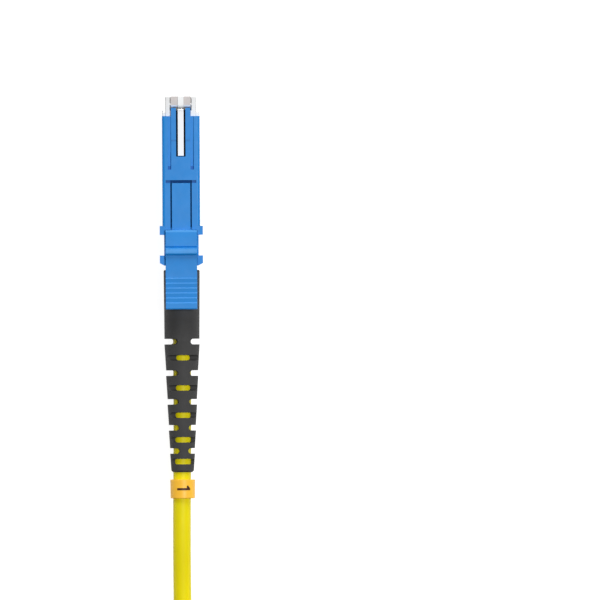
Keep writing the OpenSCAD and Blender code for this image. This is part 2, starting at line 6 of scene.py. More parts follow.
import bmesh
import bpy
import numpy as np
from bpy.props import FloatProperty, FloatVectorProperty, IntProperty, PointerProperty
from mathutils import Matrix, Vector

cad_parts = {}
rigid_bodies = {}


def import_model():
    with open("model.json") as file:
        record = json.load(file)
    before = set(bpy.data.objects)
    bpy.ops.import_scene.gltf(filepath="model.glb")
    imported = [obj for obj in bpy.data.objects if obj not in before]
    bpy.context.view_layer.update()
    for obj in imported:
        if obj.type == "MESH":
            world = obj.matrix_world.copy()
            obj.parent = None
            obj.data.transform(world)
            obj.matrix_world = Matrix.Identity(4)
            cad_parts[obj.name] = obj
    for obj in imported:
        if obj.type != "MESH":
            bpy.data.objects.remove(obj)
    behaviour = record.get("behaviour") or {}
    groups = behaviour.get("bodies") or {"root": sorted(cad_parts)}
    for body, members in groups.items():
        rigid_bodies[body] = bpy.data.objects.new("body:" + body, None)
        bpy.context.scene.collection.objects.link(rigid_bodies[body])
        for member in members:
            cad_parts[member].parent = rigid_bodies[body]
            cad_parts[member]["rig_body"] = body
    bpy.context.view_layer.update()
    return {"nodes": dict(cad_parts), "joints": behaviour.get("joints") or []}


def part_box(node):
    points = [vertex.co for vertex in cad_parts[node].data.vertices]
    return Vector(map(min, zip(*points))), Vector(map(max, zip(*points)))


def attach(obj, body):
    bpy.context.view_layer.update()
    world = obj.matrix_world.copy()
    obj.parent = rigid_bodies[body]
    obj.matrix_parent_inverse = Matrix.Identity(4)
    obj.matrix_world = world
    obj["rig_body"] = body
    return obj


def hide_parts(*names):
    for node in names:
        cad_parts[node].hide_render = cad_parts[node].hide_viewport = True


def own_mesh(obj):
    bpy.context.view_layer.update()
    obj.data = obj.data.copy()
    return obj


bl_info = {
    "name": "Shuttered fibre plug",
    "version": (1, 0, 0),
    "blender": (4, 5, 0),
    "location": "View3D > Sidebar > Fibre plug",
    "description": "Rounds, finishes and lights a shuttered fibre plug and its patch cord",
    "category": "Object",
}

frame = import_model()
NODES = frame["nodes"]

# ---- Places taken from the frame ----

HOUSING_LOW, HOUSING_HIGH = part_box("outer_housing")
FAR_LOW, FAR_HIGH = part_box("far_outer_housing")
MARKER_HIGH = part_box("marker")[1]
HANK_LOW, HANK_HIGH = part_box("cord_hank")
SPRING_LOW, SPRING_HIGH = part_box("ferrule_spring")
LEAF_LOW, LEAF_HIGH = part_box("shutter_spring")
LEVER_LOW, LEVER_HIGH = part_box("lever")
FLOOR_Z = HOUSING_LOW.z

JOINTS = {joint["name"]: joint for joint in frame["joints"]}

# The lever's pivot, and the shutter's top with its rib
PIVOT_Y = JOINTS["lever_press"]["pos_m"][1]
RIB_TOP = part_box("shutter")[1].z

# The channel under the leaf spring, which gets painted shade: half its width, a height below its
# floor, and how far it goes on behind the leaf
CHANNEL_HALF, CHANNEL_LOW, CHANNEL_BACK = 0.00085, 0.0022, 0.0004

# The opening round the lever: how far it goes on behind the pivot and ahead of the tongue's tip
OPENING_BACK, OPENING_FRONT = 0.0006, 0.0008

# Depths below the roof that bound the painted shade: a trace, and limits to the cross slit's
# floor and the grooves' ends
TRACE, SLIT_FLOOR, GROOVE_END = 0.00005, 0.0003, (0.0004, 0.0006)

# Along the lever, bounding the painted highlight: where the grip's steps start and stop from its
# rear end, how far behind the pivot the plate's front slopes, and the middle of the ridge's crown
# and half its length
GRIP_FROM, GRIP_TO = 0.0002, 0.0065
PLATE_SLOPE, CROWN_BACK, CROWN_HALF = 0.0004, 0.00356, 0.0004

# The pressed rib's height, and the lengths of the leaf's bead and of its foot's rear end
RIB_HEIGHT, BEAD, FOOT_END = 0.00019, 0.0005, 0.0002

# A face looks straight up when its normal's Z is above this
LEVEL = 0.9

# Each plug by what its nodes' names start with: the signs that turn the near plug into it, which
# for the far one are half a turn about Z, and then how far it is carried
PLUGS = {
    "": ((1, 1, 1), (0.0, 0.0, 0.0)),
    "far_": ((-1, -1, 1), (
        (FAR_LOW.x + FAR_HIGH.x) / 2, FAR_HIGH.y + HOUSING_LOW.y, FAR_LOW.z - HOUSING_LOW.z,
    )),
}

# The cord's chosen route where it isn't wound, in metres
RUN_ROUTE = [
    (0, -0.0352, 0), (0, -0.044, 0), (0, -0.052, 0), (-0.00006, -0.060, 0),
    (-0.00014, -0.068, 0), (-0.00018, -0.074, -0.0004), (-0.00018, -0.080, -0.0014),
    (-0.00014, -0.086, -0.0023), (-0.00006, -0.092, -0.0027), (0, -0.098, -0.0026),
]
TAIL_ROUTE = [
    (0.024, -0.146, 0.0036), (0.024, -0.141, 0.0041), (0.024, -0.136, 0.0051),
    (0.024, -0.131, 0.0062), (0.024, -0.126, 0.0068), (0.024, -0.121, 0.007),
    (0.024, -0.115, 0.007), (0.024, -0.109, 0.0071), (0.024, -0.103, 0.0073),
    (0.0226, -0.097, 0.0077), (0.0186, -0.0927, 0.0082), (0.0128, -0.0912, 0.0087),
    (0.007, -0.0927, 0.0091), (0.0029, -0.097, 0.0093), (0.0015, -0.103, 0.0094),
    (0.0015, -0.111, 0.0094), (0.0015, -0.119, 0.0094), (0.0015, -0.127, 0.0094),
    (0.0015, -0.1354, 0.0094),
]


# ---- What a user would change ----

def length(name, description, default):
    """A length in metres, shown as a distance."""
    return FloatProperty(
        name=name, description=description, default=default, min=0.0,
        subtype="DISTANCE", unit="LENGTH", precision=5,
    )


def position(name, description, default):
    """A position in the frame, in metres."""
    return FloatVectorProperty(
        name=name, description=description, default=default, size=3,
        subtype="XYZ", unit="LENGTH",
    )


def colour(name, description, default):
    """A linear colour with its alpha at 1."""
    return FloatVectorProperty(
        name=name, description=description, default=(*default, 1.0), size=4,
        min=0.0, max=1.0, subtype="COLOR",
    )


class PlugEdges(bpy.types.PropertyGroup):
    """Edge radii of the moulded and bent pieces"""

    housing: length("Housing", "Edge radius of the outer housing", 0.00009)
    nose: length("Nose", "Edge radius of the white inner body", 0.00006)
    lever: length("Lever", "Edge radius of the lever", 0.00005)
    shutter: length("Shutter", "Edge radius of the bent shutter", 0.00004)
    leaf_front: length("Leaf front", "How far the leaf's end is drawn towards the rib", 0.00008)
    leaf_back: length(
        "Leaf back", "How far the leaf's foot is drawn towards the slot's end", 0.00012,
    )
    boot: length("Boot", "Edge radius of the boot's notches", 0.00007)
    marker: length("Marker", "Edge radius of the marker clip", 0.00008)
    metal: length("Metal", "Edge break on turned metal", 0.00004)


class PlugColours(bpy.types.PropertyGroup):
    """Colours of the plug and the cord"""

    housing: colour("Housing", "Blue of the outer housing", (0.008, 0.215, 0.620))
    lever: colour("Lever", "Blue of the lever", (0.008, 0.218, 0.625))
    # Painted highlight: a lighter blue on the grip's risers, the plate's sloping front and the
    # ridge's crown
    painted_highlight: colour("Crest", "Lighter blue of the grip's edges", (0.055, 0.300, 0.720))
    # Painted shade: a darker blue on the grooves' ends and the cross slit's shallow floors
    shade: colour("Shade", "Blue at the deep ends of the ramped grooves", (0.006, 0.115, 0.420))
    # Painted shade: a much darker blue in the deep slits round the tongue and the pivot
    painted_slit_shade: colour("Pocket", "Blue in the deep slits round the tongue", (0.004, 0.058, 0.230))
    nose: colour("Nose", "White of the inner body", (0.75, 0.755, 0.755))
    # Painted shade: near black on the white inner body's channel under the leaf spring
    channel: colour("Channel", "Dark of the channel under the leaf spring", (0.012, 0.016, 0.024))
    leaf: colour("Leaf", "White of the leaf spring and the pressed rib", (0.85, 0.86, 0.86))
    shutter: colour("Shutter", "Light grey of the bent shutter", (0.49, 0.455, 0.445))
    # Painted highlight: a light grey on the back of the shutter's barrel, where it looks up and
    # behind
    barrel: colour("Barrel", "Painted highlight in light grey on the shutter's barrel", (0.80, 0.84, 0.88))
    metal: colour("Metal", "Turned and plated metal", (0.55, 0.56, 0.57))
    ceramic: colour("Ceramic", "Polished ferrule ceramic", (0.88, 0.87, 0.83))
    fibre: colour("Fibre", "Glass in the middle of the ferrule", (0.25, 0.29, 0.33))
    boot: colour("Boot", "Dark grey of the boot", (0.054, 0.0535, 0.0535))
    jacket: colour("Jacket", "Yellow of the cord's jacket", (0.80, 0.69, 0.0008))
    yarn: colour("Yarn", "Yellow of the aramid yarn", (0.62, 0.46, 0.10))
    marker: colour("Marker", "Orange yellow of the marker clip", (0.99, 0.53, 0.045))
    digit: colour("Digit", "Dark brown of the marker's digit", (0.060, 0.016, 0.006))
    tie: colour("Tie", "Black of the hank's ties", (0.020, 0.020, 0.022))


class CordSizes(bpy.types.PropertyGroup):
    """Sizes of the patch cord and its hank"""

    diameter: length("Diameter", "Diameter of the jacket", 0.003)
    outer_fold: length("Outer fold", "Fold radius of the hank's outer turns", 0.012)
    inner_fold: length("Inner fold", "Fold radius of the hank's inner turns", 0.009)
    ring_step: length("Ring step", "Distance between the rings of the jacket's mesh", 0.0007)
    sides: IntProperty(name="Sides", description="Sides of the jacket's mesh", default=28, min=8)
    tie_thickness: length("Tie thickness", "Thickness of a tie's strip", 0.0004)
    tie_overlap: FloatProperty(
        name="Tie overlap", description="Share of a turn that a tie laps over itself",
        default=0.18, min=0.0, max=0.5,
    )
    tie_start: FloatProperty(
        name="Tie start", description="Where on the loop a tie starts, as a share of a turn",
        default=0.5, min=0.0, max=1.0,
    )


class MarkerDigit(bpy.types.PropertyGroup):
    """The digit printed on the marker clip, read from the plug's side"""

    height: length("Height", "Height of the digit along the clip's skin", 0.00232)
    rise: length("Rise", "How far the digit's middle stands off the top of the clip", 0.0002)
    stroke: length("Stroke", "Width of its strokes", 0.00036)
    flag: length("Flag", "Reach of the flag from the middle of the stem", 0.0006)
    place: length("Place", "Distance of the stem behind the clip's front", 0.00162)
    ink: length("Ink", "How far the ink stands above the clip", 0.00001)


class CoilSizes(bpy.types.PropertyGroup):
    """The coil spring behind the ferrule's flange"""

    wire: length("Wire", "Diameter of the wire", 0.0004)
    turns: IntProperty(name="Turns", description="Turns from end to end", default=6, min=3)


class StudioSettings(bpy.types.PropertyGroup):
    """Camera, lights and floor"""

    view_height: length("View height", "Height of the picture at the plug's axis", 0.10175)
    view_x: FloatProperty(
        name="View centre X", description="Middle of the picture across the plug",
        default=0.02005, subtype="DISTANCE", unit="LENGTH", precision=5,
    )
    view_y: FloatProperty(
        name="View centre Y", description="Middle of the picture along the plug",
        default=-0.0330, subtype="DISTANCE", unit="LENGTH", precision=5,
    )
    view_roll: FloatProperty(
        name="View roll", description="Turn of the camera about its own axis",
        default=math.radians(-0.3), subtype="ANGLE", unit="ROTATION",
    )
    lens: FloatProperty(name="Lens", description="Focal length in millimetres", default=1000.0)
    floor: colour("Floor", "Colour of the lit floor panel", (0.35, 0.35, 0.35))
    floor_glow: FloatProperty(
        name="Floor glow", description="Light that the floor panel gives off", default=0.90,
    )
    sky_strength: FloatProperty(
        name="Surround", description="Strength of the white surround", default=0.10,
    )
    key_power: FloatProperty(
        name="Key light", description="Power of the low soft light ahead of the plug's front",
        default=18.5, unit="POWER",
    )
    key_size: length("Key size", "Diameter of the low light", 0.90)
    key_place: position("Key place", "Where the low light stands", (0.0, 1.45, 0.90))
    top_power: FloatProperty(
        name="Top light", description="Power of the soft light high above to the plug's right",
        default=71.0, unit="POWER",
    )
    top_size: length("Top size", "Diameter of the high light", 0.80)
    top_place: position("Top place", "Where the high light hangs", (0.90, 0.10, 3.20))
    aim: position("Aim", "Where both lights are aimed", (0.0, -0.03, 0.0))


def settings(name):
    """One of the groups of settings, by its name on the scene."""
    return getattr(bpy.context.scene, name)


# ---- Finishes ----

class Finish:
    """A procedural material: one Principled shader with patterns in Object coordinates or UV."""

    def __init__(self, name, metallic=0.0, specular=0.5):
        self.material = bpy.data.materials.new(name)
        self.material.use_nodes = True
        self.nodes = self.material.node_tree.nodes
        self.links = self.material.node_tree.links
        self.shader = self.nodes["Principled BSDF"]
        self.shader.inputs["Metallic"].default_value = metallic
        self.shader.inputs["Specular IOR Level"].default_value = specular
        self.normal = None

    def add(self, kind, **values):
        """A node with some of its inputs or properties set."""
        node = self.nodes.new(kind)
        for key, value in values.items():
            if key in node.inputs:
                node.inputs[key].default_value = value
            else:
                setattr(node, key.lower(), value)
        return node

    def coordinates(self, source="Object", scale=(1, 1, 1), shift=(0, 0, 0)):
        """Texture coordinates in metres, scaled and then shifted."""
        where = self.add("ShaderNodeTexCoord")
        mapping = self.add("ShaderNodeMapping")
        mapping.inputs["Location"].default_value = shift
        mapping.inputs["Scale"].default_value = scale
        self.links.new(where.outputs[source], mapping.inputs["Vector"])
        return mapping.outputs["Vector"]

    def noise(self, size, detail=2.0, **where):
        """Noise whose features are about size metres across."""
        noise = self.add("ShaderNodeTexNoise", Scale=1.0 / size, Detail=detail, Roughness=0.55)
        self.links.new(self.coordinates(**where), noise.inputs["Vector"])
        return noise.outputs["Fac"]

    def spread(self, factor, low, high, start=0.3, end=0.7):
        """A factor from start to end, carried to the range from low to high."""
        spread = self.add("ShaderNodeMapRange")
        spread.inputs["From Min"].default_value = start
        spread.inputs["From Max"].default_value = end
        spread.inputs["To Min"].default_value = low
        spread.inputs["To Max"].default_value = high
        self.links.new(factor, spread.inputs["Value"])
        return spread.outputs["Result"]

    def mottle(self, base, size, amount, **where):
        """Base colour that drifts lighter and darker by amount."""
        dark = [c * (1 - amount) for c in base[:3]] + [1.0]
        light = [min(1.0, c * (1 + amount)) for c in base[:3]] + [1.0]
        mix = self.add("ShaderNodeMix", data_type="RGBA")
        factor = self.spread(self.noise(size, **where), 0.0, 1.0)
        self.links.new(factor, mix.inputs["Factor"])
        mix.inputs["A"].default_value = dark
        mix.inputs["B"].default_value = light
        self.set_colour(mix.outputs["Result"])
        return mix.outputs["Result"]

    def set_colour(self, output):
        self.links.new(output, self.shader.inputs["Base Color"])

    def over(self, below, above, mask):
        """The colour above where mask is 1, and the one below elsewhere."""
        mix = self.add("ShaderNodeMix", data_type="RGBA")
        self.links.new(mask, mix.inputs["Factor"])
        self.links.new(below, mix.inputs["A"])
        mix.inputs["B"].default_value = above
        self.set_colour(mix.outputs["Result"])

    def gloss_drift(self, size, low, high, **where):
        """Roughness that drifts between low and high."""
        drift = self.spread(self.noise(size, **where), low, high)
        self.links.new(drift, self.shader.inputs["Roughness"])

    def grain(self, size, depth, detail=3.0, **where):
        """Surface grain of that size and depth in metres, added to the bumps so far."""
        bump = self.add("ShaderNodeBump", Strength=1.0, Distance=depth)
        self.links.new(self.noise(size, detail, **where), bump.inputs["Height"])
        if self.normal is not None:
            self.links.new(self.normal, bump.inputs["Normal"])
        self.normal = bump.outputs["Normal"]
        self.links.new(self.normal, self.shader.inputs["Normal"])


def moulded_plastic(name, base, gloss=(0.40, 0.50), specular=0.30):
    """Satin injection moulding: fine spark-eroded grain, faint flow marks and drift in gloss."""
    finish = Finish(name, specular=specular)
    finish.mottle(base, 0.0035, 0.035)
    finish.gloss_drift(0.0012, *gloss)
    finish.grain(0.00005, 0.000003)
    finish.grain(0.0016, 0.000006, detail=1.0)
    return finish.material


def bent_sheet(name, base):
    """Thin rolled sheet with a faint grain along its length."""
    finish = Finish(name, metallic=0.1, specular=0.5)
    finish.mottle(base, 0.0009, 0.03)
    finish.gloss_drift(0.0004, 0.34, 0.46)
    finish.grain(0.00008, 0.0000015, scale=(1, 8, 1))
    return finish.material


def turned_metal(name, base, ring=0.00012):
    """Plated turned metal, with fine tool rings round the axis."""
    finish = Finish(name, metallic=1.0)
    finish.mottle(base, 0.0008, 0.06)
    finish.gloss_drift(0.0003, 0.24, 0.38)
    finish.grain(ring, 0.000002, scale=(0.02, 1, 0.02), detail=1.0)
    return finish.material


def drawn_wire(name, base):
    """Bright drawn wire."""
    finish = Finish(name, metallic=1.0)
    finish.mottle(base, 0.0006, 0.05)
    finish.gloss_drift(0.0002, 0.2, 0.32)
    finish.grain(0.00006, 0.000001)
    return finish.material


def ferrule_ceramic(name, base, fibre, shift):
    """Polished ceramic with the glass fibre's end in the middle."""
    finish = Finish(name)
    body = finish.mottle(base, 0.0012, 0.015)
    finish.gloss_drift(0.0005, 0.08, 0.16)
    finish.grain(0.00004, 0.0000004)
    finish.shader.inputs["Coat Weight"].default_value = 0.4
    finish.shader.inputs["Coat Roughness"].default_value = 0.06
    across = finish.add("ShaderNodeVectorMath", operation="LENGTH")
    flat = finish.coordinates(scale=(1, 0, 1), shift=(-shift[0], 0, -shift[2]))
    finish.links.new(flat, across.inputs[0])
    fibre_radius = 0.0000625
    core = finish.spread(across.outputs["Value"], 1.0, 0.0, fibre_radius, fibre_radius * 1.2)
    finish.over(body, fibre, core)
    return finish.material


def boot_rubber(name, base):
    """Matte moulded elastomer with a fine even grain."""
    finish = Finish(name, specular=0.15)
    finish.mottle(base, 0.0022, 0.05)
    finish.gloss_drift(0.0009, 0.62, 0.74)
    finish.grain(0.00007, 0.000006)
    finish.grain(0.0014, 0.00001, detail=1.0)
    return finish.material


def cord_jacket(name, base):
    """Extruded jacket: long faint draw lines and a soft satin gloss, on the tube's own UV map."""
    girth = 0.0094
    finish = Finish(name, specular=0.2)
    finish.mottle(base, 0.006, 0.035, source="UV", scale=(girth, 1, 1))
    finish.gloss_drift(0.002, 0.50, 0.60, source="UV", scale=(girth, 1, 1))
    finish.grain(0.0006, 0.000010, detail=1.0, source="UV", scale=(girth, 0.03, 1))
    finish.grain(0.00008, 0.000003)
    finish.shader.inputs["Subsurface Weight"].default_value = 0.05
    finish.shader.inputs["Subsurface Scale"].default_value = 0.0004
    return finish.material


def yarn_strands(name, base):
    """Aramid strands laid along the axis."""
    finish = Finish(name, specular=0.3)
    finish.mottle(base, 0.00012, 0.25, scale=(1, 0.04, 1))
    finish.gloss_drift(0.0003, 0.5, 0.7)
    finish.grain(0.0001, 0.00002, scale=(1, 0.04, 1))
    return finish.material


def printed_ink(name, base):
    """A thin dull print."""
    finish = Finish(name, specular=0.3)
    finish.mottle(base, 0.0002, 0.12)
    finish.gloss_drift(0.0002, 0.5, 0.6)
    finish.grain(0.00004, 0.000002)
    return finish.material


def hook_and_loop(name, base):
    """Fuzzy woven strip."""
    finish = Finish(name, specular=0.25)
    finish.mottle(base, 0.0003, 0.45)
    finish.gloss_drift(0.0003, 0.8, 0.95)
    finish.grain(0.00016, 0.00006, detail=4.0)
    finish.shader.inputs["Sheen Weight"].default_value = 0.35
    finish.shader.inputs["Sheen Roughness"].default_value = 0.4
    return finish.material


def floor_panel(name, base, glow):
    """Pale frosted panel, softly lit from below."""
    finish = Finish(name, specular=0.05)
    finish.mottle(base, 0.05, 0.004)
    finish.gloss_drift(0.02, 0.85, 0.95)
    finish.grain(0.0004, 0.00001)
    finish.shader.inputs["Emission Color"].default_value = (1.0, 1.0, 1.0, 1.0)
    finish.shader.inputs["Emission Strength"].default_value = glow
    return finish.material


# ---- Rounded copies of the CAD nodes ----

WELD = 2e-7


def plug_local(points, prefix):
    """Points of either plug in the near plug's own frame."""
    turn, shift = PLUGS[prefix]
    return (points - np.array(shift)) * turn


def place_in_plug(points, prefix):
    """The opposite of plug_local, for points made in the near plug's frame."""
    turn, shift = PLUGS[prefix]
    return points * turn + np.array(shift)


def welded_mesh(node, name):
    """The node's loose triangles welded into closed walls, with each flat region as one face."""
    shell = bmesh.new()
    shell.from_mesh(NODES[node].data)
    bmesh.ops.remove_doubles(shell, verts=shell.verts, dist=WELD)
    flat = math.radians(0.6)
    bmesh.ops.dissolve_limit(shell, angle_limit=flat, verts=shell.verts, edges=shell.edges)
    welded = bpy.data.meshes.new(name)
    shell.to_mesh(welded)
    shell.free()
    corners = np.empty(len(welded.vertices) * 3)
    welded.vertices.foreach_get("co", corners)
    starts = np.empty(len(welded.polygons), int)
    totals = np.empty(len(welded.polygons), int)
    order = np.empty(len(welded.loops), int)
    welded.polygons.foreach_get("loop_start", starts)
    welded.polygons.foreach_get("loop_total", totals)
    welded.loops.foreach_get("vertex_index", order)
    faces = [order[a:a + n].tolist() for a, n in zip(starts, totals)]
    bpy.data.meshes.remove(welded)
    clean = bpy.data.meshes.new(name)
    clean.from_pydata(corners.reshape(-1, 3).tolist(), [], faces)
    return clean


def shade(mesh, crease=35.0):
    """Smooth shading, with edges sharper than crease degrees kept sharp."""
    mesh.polygons.foreach_set("use_smooth", np.ones(len(mesh.polygons), bool))
    mesh.set_sharp_from_angle(angle=math.radians(crease))
    mesh.update()


def linked(name, mesh):
    """A new object in the scene, at the origin."""
    piece = bpy.data.objects.new(name, mesh)
    bpy.context.scene.collection.objects.link(piece)
    return piece


def rounded_copy(prefix, node, name, radius, finishes, choose=None, angle=38.0):
    """A welded copy of a plug's node with its sharp edges rounded, which stands for that node.

    choose gives each face's finish from the faces' places and normals in the near plug's frame,
    where a normal is 1 in Y when the face looks straight ahead and 1 in Z when it looks up.
    """
    node, name = prefix + node, prefix + name
    mesh = welded_mesh(node, name)
    for finish in finishes:
        mesh.materials.append(finish)
    if choose is not None:
        centres = np.empty(len(mesh.polygons) * 3)
        facing = np.empty(len(mesh.polygons) * 3)
        mesh.polygons.foreach_get("center", centres)
        mesh.polygons.foreach_get("normal", facing)
        facing = facing.reshape(-1, 3) * PLUGS[prefix][0]
        chosen = choose(plug_local(centres.reshape(-1, 3), prefix), facing)
        mesh.polygons.foreach_set("material_index", chosen.astype(int))
    shade(mesh)
    piece = linked(name, mesh)
    edge = piece.modifiers.new("rounded edges", "BEVEL")
    edge.width = radius
    edge.segments = 2
    edge.limit_method = "ANGLE"
    edge.angle_limit = math.radians(angle)
    edge.use_clamp_overlap = True
    edge.harden_normals = True
    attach(piece, NODES[node]["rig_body"])
    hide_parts(node)
    return piece


# ---- Surfaces worked out on grids ----

def ring_walls(rings, sides):
    """Quads between each closed ring of points and the next one."""
    start = np.arange(rings - 1)[:, None] * sides
    side = np.arange(sides)[None, :]
    a = start + side
    b = start + (side + 1) % sides
    return np.stack([a, a + sides, b + sides, b], axis=-1).reshape(-1, 4)


def ring_caps(rings, sides):
    """The first ring and the last one as faces, turned opposite ways."""
    last = (rings - 1) * sides
    return [list(range(sides)), [last + k for k in range(sides - 1, -1, -1)]]


def smooth_line(points, samples=12):
    """A curve through all the points: each span blends four points by their spacing."""
    p = np.asarray(points, float)
    p = np.vstack([2 * p[0] - p[1], p, 2 * p[-1] - p[-2]])
    gaps = np.sqrt(np.linalg.norm(np.diff(p, axis=0), axis=1))
    knots = np.concatenate([[0.0], np.cumsum(gaps)])
    k0, k1, k2, k3 = (knots[i:len(knots) - 3 + i, None, None] for i in range(4))
    p0, p1, p2, p3 = (p[i:len(p) - 3 + i, None, :] for i in range(4))
    t = k1 + (k2 - k1) * np.linspace(0, 1, samples, endpoint=False)[None, :, None]
    a1 = ((k1 - t) * p0 + (t - k0) * p1) / (k1 - k0)
    a2 = ((k2 - t) * p1 + (t - k1) * p2) / (k2 - k1)
    a3 = ((k3 - t) * p2 + (t - k2) * p3) / (k3 - k2)
    b1 = ((k2 - t) * a1 + (t - k0) * a2) / (k2 - k0)
    b2 = ((k3 - t) * a2 + (t - k1) * a3) / (k3 - k1)
    curve = ((k2 - t) * b1 + (t - k1) * b2) / (k2 - k1)
    return np.vstack([curve.reshape(-1, 3), p[-2]])


def length_along(line):
    """How far each point lies along the line from its start."""
    return np.concatenate([[0.0], np.cumsum(np.linalg.norm(np.diff(line, axis=0), axis=1))])


def evenly(line, step):
    """The same line as points an equal step apart, and how far along it they lie."""
    reach = length_along(line)
    places = np.linspace(0, reach[-1], max(2, int(round(reach[-1] / step)) + 1))
    return np.stack([np.interp(places, reach, line[:, i]) for i in range(3)], axis=1), places


def tube_mesh(name, line, along, radius, sides, up=(0.0, 0.01, 1.0)):
    """A round tube: each point of the line carries a ring square to it, and both ends are closed.

    A ring's points lie at the radius times the cosine of an even angle to the side and times its
    sine upwards. u runs round the ring and v along the line in metres.
    """
    heading = np.gradient(line, axis=0)
    heading /= np.linalg.norm(heading, axis=1)[:, None]
    side = np.cross(heading, up)
    side /= np.linalg.norm(side, axis=1)[:, None]
    rise = np.cross(side, heading)
    turn = 2 * np.pi * np.arange(sides) / sides
    ring = np.cos(turn)[:, None] * side[:, None, :] + np.sin(turn)[:, None] * rise[:, None, :]
    skin = (line[:, None, :] + radius * ring).reshape(-1, 3)
    walls = ring_walls(len(line), sides)[:, ::-1]
    mesh = bpy.data.meshes.new(name)
    mesh.from_pydata(skin.tolist(), [], [*walls.tolist(), *ring_caps(len(line), sides)])
    corner = np.empty(len(mesh.loops), int)
    mesh.loops.foreach_get("vertex_index", corner)
    u = (corner % sides) / sides
    four = u[:walls.size].reshape(-1, 4)
    four[(four.max(axis=1) - four.min(axis=1) > 0.5)[:, None] & (four < 0.5)] += 1.0
    uv = mesh.uv_layers.new(name="jacket")
    uv.data.foreach_set("uv", np.stack([u, along[corner // sides]], axis=1).ravel())
    shade(mesh, 60.0)
    return mesh


def outward(mesh):
    """Turns every face outwards on a closed mesh."""
    shell = bmesh.new()
    shell.from_mesh(mesh)
    bmesh.ops.recalc_face_normals(shell, faces=shell.faces)
    shell.to_mesh(mesh)
    shell.free()
    mesh.update()


def coil_mesh(name, coil, prefix):
    """Wire round the Y axis, from the front end to the back one.

    The angle grows evenly. Along Y the first and last turn rise by one wire diameter each, and the
    turns between share what is left evenly, so the ends lie closed.
    """
    steps_a_turn, wire_sides = 40, 12
    wire = coil.wire
    radius = (SPRING_HIGH.x - SPRING_LOW.x - wire) / 2
    reach = SPRING_HIGH.y - SPRING_LOW.y - wire
    turn = np.linspace(0, coil.turns, coil.turns * steps_a_turn + 1)
    along = np.interp(turn, [0, 1, coil.turns - 1, coil.turns], [0, wire, reach - wire, reach])
    angle = 2 * np.pi * turn
    line = np.stack([
        radius * np.cos(angle), SPRING_HIGH.y - wire / 2 - along, radius * np.sin(angle),
    ], 1)
    line = place_in_plug(line, prefix)
    return tube_mesh(name, line, length_along(line), wire / 2, wire_sides, up=(0.0, 1.0, 0.0))


# ---- The cord ----

def hank_places(cord):
    """Fold radius and height of the hank's five strands, in the order in which they are wound."""
    pitch = cord.diameter
    foot = HANK_LOW.z + pitch / 2
    outer, inner = cord.outer_fold, cord.inner_fold
    return [
        (outer, foot), (inner, foot), (inner, foot + pitch), (outer, foot + pitch),
        (outer, foot + 2 * pitch),
    ]


# Where each strand moves over to the next one's place, as shares of the right run and front fold
SHIFT_ENDS = [1.0, 0.73, 0.54, 0.37, 0.20]

# Points on a turn's left run, on its back fold, and on its right run and front fold
RUN_POINTS, FOLD_POINTS, RETURN_POINTS = 8, 12, 24


def hank_turn(places, k, centre_x, front_y, run):
    """One turn: down the left run, round the back fold, up the right run and round the front fold.

    Along the last two, a strand eases from its own fold radius and height to the next one's by
    half a cosine wave.
    """
    radius, height = places[k]
    back_y = front_y - run
    down = np.linspace(0, 1, RUN_POINTS, endpoint=False)
    left = np.stack([0 * down + centre_x - radius, front_y - run * down, 0 * down + height], 1)
    angle = np.pi + np.pi * np.linspace(0, 1, FOLD_POINTS, endpoint=False)
    fold = np.stack([
        centre_x + radius * np.cos(angle), back_y + radius * np.sin(angle), 0 * angle + height,
    ], 1)
    if k == len(places) - 1:
        return np.vstack([left, fold, [[centre_x + radius, back_y, height]]])
    share = np.linspace(0, 1, RETURN_POINTS, endpoint=False)
    reach = np.clip((share - SHIFT_ENDS[k + 1]) / (SHIFT_ENDS[k] - SHIFT_ENDS[k + 1]), 0, 1)
    ease = (1 - np.cos(np.pi * reach)) / 2
    radius = radius + (places[k + 1][0] - radius) * ease
    height = height + (places[k + 1][1] - height) * ease
    straight = run / (run + np.pi * (places[0][0] + places[1][0]) / 2)
    up = np.minimum(share / straight, 1)
    angle = np.pi * np.maximum(share - straight, 0) / (1 - straight)
    back = np.stack([
        centre_x + radius * np.cos(angle), back_y + run * up + radius * np.sin(angle), height,
    ], 1)
    return np.vstack([left, fold, back])


def cord_line(cord):
    """The cord's whole centreline, from one plug's crimp to the other's, and lengths along it."""
    edge = cord.outer_fold + cord.diameter / 2
    centre_x = (HANK_LOW.x + HANK_HIGH.x) / 2
    front_y = HANK_HIGH.y - edge
    run = HANK_HIGH.y - HANK_LOW.y - 2 * edge
    places = hank_places(cord)
    turns = [hank_turn(places, k, centre_x, front_y, run) for k in range(len(places))]
    return evenly(smooth_line(np.vstack([RUN_ROUTE, *turns, TAIL_ROUTE])), cord.ring_step)


class PLUG_OT_cord(bpy.types.Operator):
    """Lay the jacket along its route and through the hank"""

    bl_idname = "plug.cord"
    bl_label = "Cord"

    def execute(self, context):
        cord = settings("plug_cord")
        line, along = cord_line(cord)
        mesh = tube_mesh("cord_jacket", line, along, cord.diameter / 2, cord.sides)
        mesh.materials.append(cord_jacket("jacket", settings("plug_colours").jacket))
        piece = linked("cord_jacket", mesh)
        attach(piece, "root")
        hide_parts("cord_run", "cord_hank", "cord_tail")
        return {"FINISHED"}


def declare_cord():
    """Reads the cord's settings and does nothing more."""
    cord = settings("plug_cord")


# ---- Stage ----

